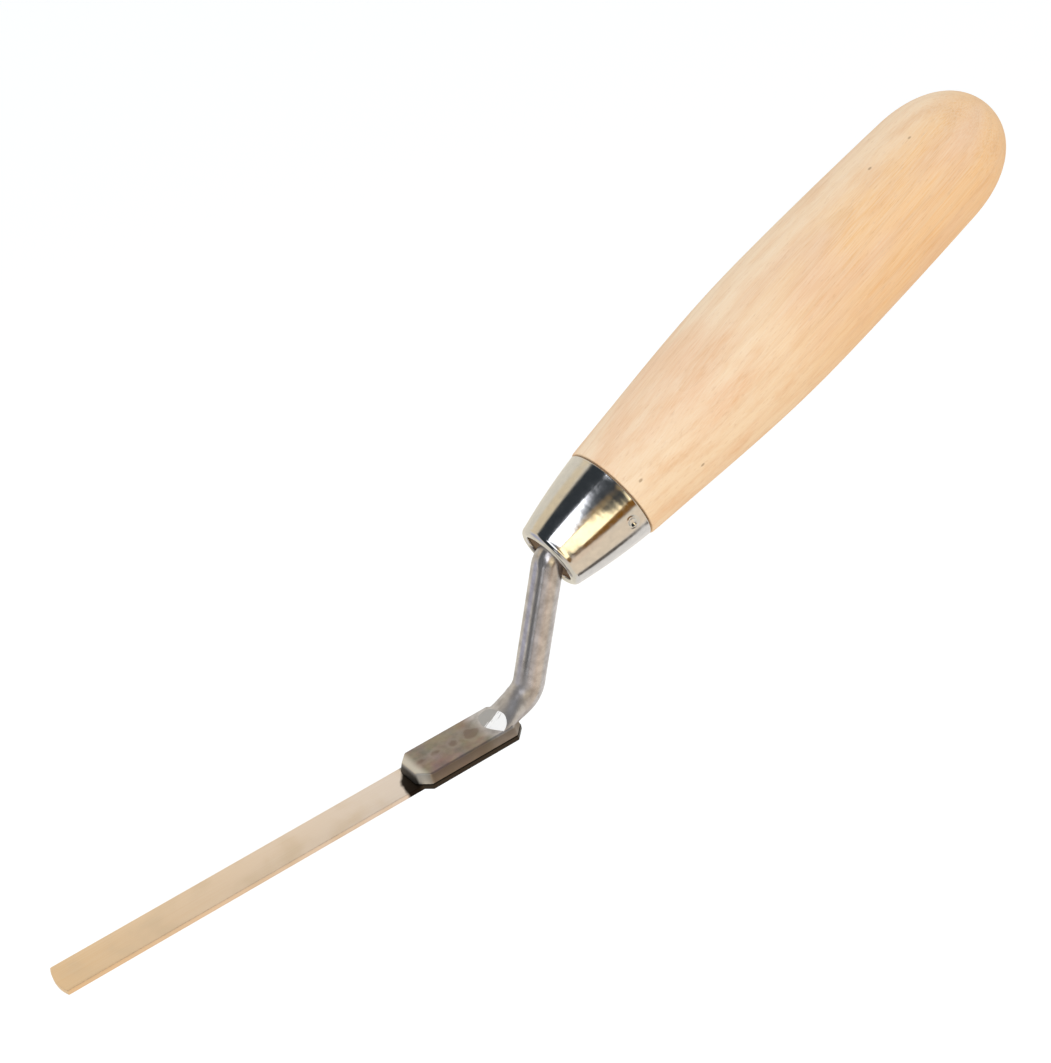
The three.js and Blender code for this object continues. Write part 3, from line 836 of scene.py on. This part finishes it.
# %% Handle material
BEECH_PALE = colour("F5DBB9")
BEECH_HONEY = colour("F3C791")
BEECH_PINK = colour("EFC7A0")
BEECH_LINE = colour("DDB384")
BEECH_FLECK = colour("C9986A")
BEECH_STREAK = colour("E6B480")
BEECH_FIBRE = colour("FBEBD6")
BEECH_KNOT = colour("8C6F4E")
GRAIN_LEAN = (0, math.radians(2.5), math.radians(-2))  # the grain isn't quite in line with the handle
GRAIN_SHIFT = (0, 22, -34)  # moves the middle of the growth rings well outside the handle
YELLOW_FROM = 42.0  # along the grip, where the wood starts to be yellower and where it is yellowest
YELLOW_FULL = 88.0
PALE_SIDE = (0, 0.63, 0.78)  # towards the upper far side, which is kept less yellow
PALE_FROM = 4.0  # out from the grip's axis on that side
PALE_FULL = 11.0
RING_SPACING = 2.6
WAVE_PERIOD = math.tau / 20  # of a wave texture at scale 1
FLECK_SCALE = (0.55, 2.4, 2.4)
FIBRE_SCALE = (0.12, 5.0, 5.0)
MOTTLE_SCALE = (0.09, 0.34, 0.34)  # streaks about 11 mm long and 3 mm wide
DRIFT_SCALE = (0.03, 0.1, 0.1)  # pinker patches about 30 mm long and 10 mm wide
KNOT_SCALE = (0.08, 0.14, 0.14)

beech, tree, shader, local = start_material("bare_beech", MOUTH * MM, HANDLE_TILT)
grain = add(tree, "ShaderNodeMapping", {"Vector": local, "Location": GRAIN_SHIFT, "Rotation": GRAIN_LEAN})
along = add(tree, "ShaderNodeSeparateXYZ", {0: local}, out="X")
towards_butt = add(tree, "ShaderNodeMapRange", {"Value": along, "From Min": YELLOW_FROM,
                                                "From Max": YELLOW_FULL}, interpolation_type="SMOOTHSTEP")
towards_pale = add(tree, "ShaderNodeVectorMath", {0: local, 1: PALE_SIDE}, out="Value",
                   operation="DOT_PRODUCT")
not_pale = add(tree, "ShaderNodeMapRange", {"Value": towards_pale, "From Min": PALE_FROM,
                                            "From Max": PALE_FULL, "To Min": 1.0, "To Max": 0.25},
               interpolation_type="SMOOTHSTEP")
yellowed = add(tree, "ShaderNodeMath", {0: towards_butt, 1: not_pale}, operation="MULTIPLY")
drift_at = add(tree, "ShaderNodeVectorMath", {0: grain, 1: DRIFT_SCALE}, operation="MULTIPLY")
drift = add(tree, "ShaderNodeTexNoise", {"Vector": drift_at, "Scale": 1.0, "Detail": 2.0})
pink = add(tree, "ShaderNodeMapRange", {"Value": drift, "From Min": 0.42, "From Max": 0.68},
           interpolation_type="SMOOTHSTEP")
rings = add(tree, "ShaderNodeTexWave", {"Vector": grain, "Scale": WAVE_PERIOD / RING_SPACING,
                                        "Distortion": 3.0, "Detail": 2.0, "Detail Scale": 0.12}, out="Fac",
            wave_type="RINGS", rings_direction="X", wave_profile="SAW")
ring_line = add(tree, "ShaderNodeMapRange", {"Value": rings, "From Min": 0.55, "From Max": 1.0,
                                             "To Max": 0.2}, interpolation_type="SMOOTHSTEP")
fleck_at = add(tree, "ShaderNodeVectorMath", {0: grain, 1: FLECK_SCALE}, operation="MULTIPLY")
flecks = add(tree, "ShaderNodeTexNoise", {"Vector": fleck_at, "Scale": 1.0, "Detail": 2.0, "Roughness": 0.65})
fleck_share = add(tree, "ShaderNodeMapRange", {"Value": flecks, "From Min": 0.54, "From Max": 0.78,
                                               "To Max": 0.3}, interpolation_type="SMOOTHSTEP")
fibre_at = add(tree, "ShaderNodeVectorMath", {0: grain, 1: FIBRE_SCALE}, operation="MULTIPLY")
fibres = add(tree, "ShaderNodeTexNoise", {"Vector": fibre_at, "Scale": 1.0, "Detail": 3.0})
fibre_share = add(tree, "ShaderNodeMapRange", {"Value": fibres, "From Min": 0.35, "From Max": 0.7,
                                               "To Max": 0.34})
mottle_at = add(tree, "ShaderNodeVectorMath", {0: grain, 1: MOTTLE_SCALE}, operation="MULTIPLY")
mottle = add(tree, "ShaderNodeTexNoise", {"Vector": mottle_at, "Scale": 1.0, "Detail": 3.0})
mottle_share = add(tree, "ShaderNodeMapRange", {"Value": mottle, "From Min": 0.46, "From Max": 0.72,
                                                "To Max": 0.5})
knot_at = add(tree, "ShaderNodeVectorMath", {0: grain, 1: KNOT_SCALE}, operation="MULTIPLY")
knots = add(tree, "ShaderNodeTexVoronoi", {"Vector": knot_at, "Scale": 1.0})
knot_share = add(tree, "ShaderNodeMapRange", {"Value": knots, "From Min": 0.02, "From Max": 0.05,
                                              "To Min": 0.6, "To Max": 0.0}, interpolation_type="SMOOTHSTEP")
wood = BEECH_PALE
for share, tint in ((yellowed, BEECH_HONEY), (pink, BEECH_PINK), (mottle_share, BEECH_STREAK),
                    (ring_line, BEECH_LINE), (fleck_share, BEECH_FLECK), (fibre_share, BEECH_FIBRE),
                    (knot_share, BEECH_KNOT)):
    wood = add(tree, "ShaderNodeMix", {0: share, 6: wood, 7: tint}, data_type="RGBA")
tooth = add(tree, "ShaderNodeMath", {0: fibres, 1: flecks}, operation="SUBTRACT")
gloss = add(tree, "ShaderNodeMapRange", {"Value": flecks, "To Min": 0.62, "To Max": 0.5})
relief = add(tree, "ShaderNodeBump", {"Height": tooth, "Strength": 0.35, "Distance": 0.05 * MM})
connect(tree, shader, {"Base Color": wood, "Roughness": gloss, "IOR": 1.5, "Normal": relief})

# %% [markdown]
# ## The handle
# The handle's outline starts inside the ferrule with the tenon, steps out at the shoulder, flares to a
# belly and closes in a nearly round butt. Each stretch is one Bezier curve, with its tangents set by the
# taper that the turner follows. A hole down the middle takes the tang.

# %% Handle outline
FIT_GAP = 0.3
SHOULDER_PROUD = 0.25
SHOULDER_ROUNDING = 0.35
SHOULDER_TAPER = 0.085
SHOULDER_RUN = 21
BELLY_DIAMETER = 28.2
BELLY_PLACE = 52
BELLY_RUN = 18
BUTT_DIAMETER = 26.6
BUTT_LENGTH = 18
BUTT_CROWN = 0.68
TANG_HOLE_END = TANG_LENGTH + 2  # the hole is a little deeper than the tang
HANDLE_SIDES = 160

tenon_start = tenon_along - mouth_along
handle_end = butt_along - mouth_along
shoulder = FERRULE_LENGTH + FIT_GAP
shoulder_radius = FERRULE_BASE_RADIUS + SHOULDER_PROUD
belly_radius = BELLY_DIAMETER / 2
belly_place = FERRULE_LENGTH + BELLY_PLACE
butt_radius = BUTT_DIAMETER / 2
butt_place = handle_end - BUTT_LENGTH
butt_slope = (belly_radius - butt_radius) / (butt_place - belly_place - BELLY_RUN)
hole_radius = ROD_RADIUS + FIT_GAP

handle_outline = [Vector((TANG_HOLE_END, LATHE_CORE)), Vector((TANG_HOLE_END, hole_radius)),
                  Vector((tenon_start, hole_radius)),
                  Vector((tenon_start, ferrule_radius(tenon_start) - FERRULE_WALL - FIT_GAP)),
                  Vector((shoulder, FERRULE_BASE_RADIUS - FERRULE_WALL - FIT_GAP))]
handle_outline += arc((shoulder + SHOULDER_ROUNDING, shoulder_radius - SHOULDER_ROUNDING), SHOULDER_ROUNDING,
                      180, 90, 5)
handle_outline += bezier([(shoulder + SHOULDER_ROUNDING,
                           shoulder_radius + SHOULDER_TAPER * SHOULDER_ROUNDING),
                          (shoulder + SHOULDER_RUN, shoulder_radius + SHOULDER_TAPER * SHOULDER_RUN),
                          (belly_place - BELLY_RUN, belly_radius), (belly_place, belly_radius)], 40)[1:]
handle_outline += bezier([(belly_place, belly_radius), (belly_place + BELLY_RUN, belly_radius),
                          (butt_place, butt_radius)], 30)[1:]
handle_outline += bezier([(butt_place, butt_radius), (butt_place + BUTT_LENGTH / 2,
                          butt_radius - butt_slope * BUTT_LENGTH / 2),
                          (handle_end, butt_radius * BUTT_CROWN), (handle_end, LATHE_CORE)], 40)[1:]
handle_piece = turned("handle_grip", handle_outline, HANDLE_SIDES, beech)
handle_piece.data.set_sharp_from_angle(angle=math.radians(50))

# %% [markdown]
# ## Closing the frame
# Each piece now takes the place of its CAD node and rides on the tool's one body. The size of each finished
# piece is printed.

# %% Pieces in place of their CAD nodes
finish_piece(blade_piece, "blade")
finish_piece(shank_piece, "shank")
finish_piece(ferrule_piece, "ferrule")
finish_piece(handle_piece, "handle")
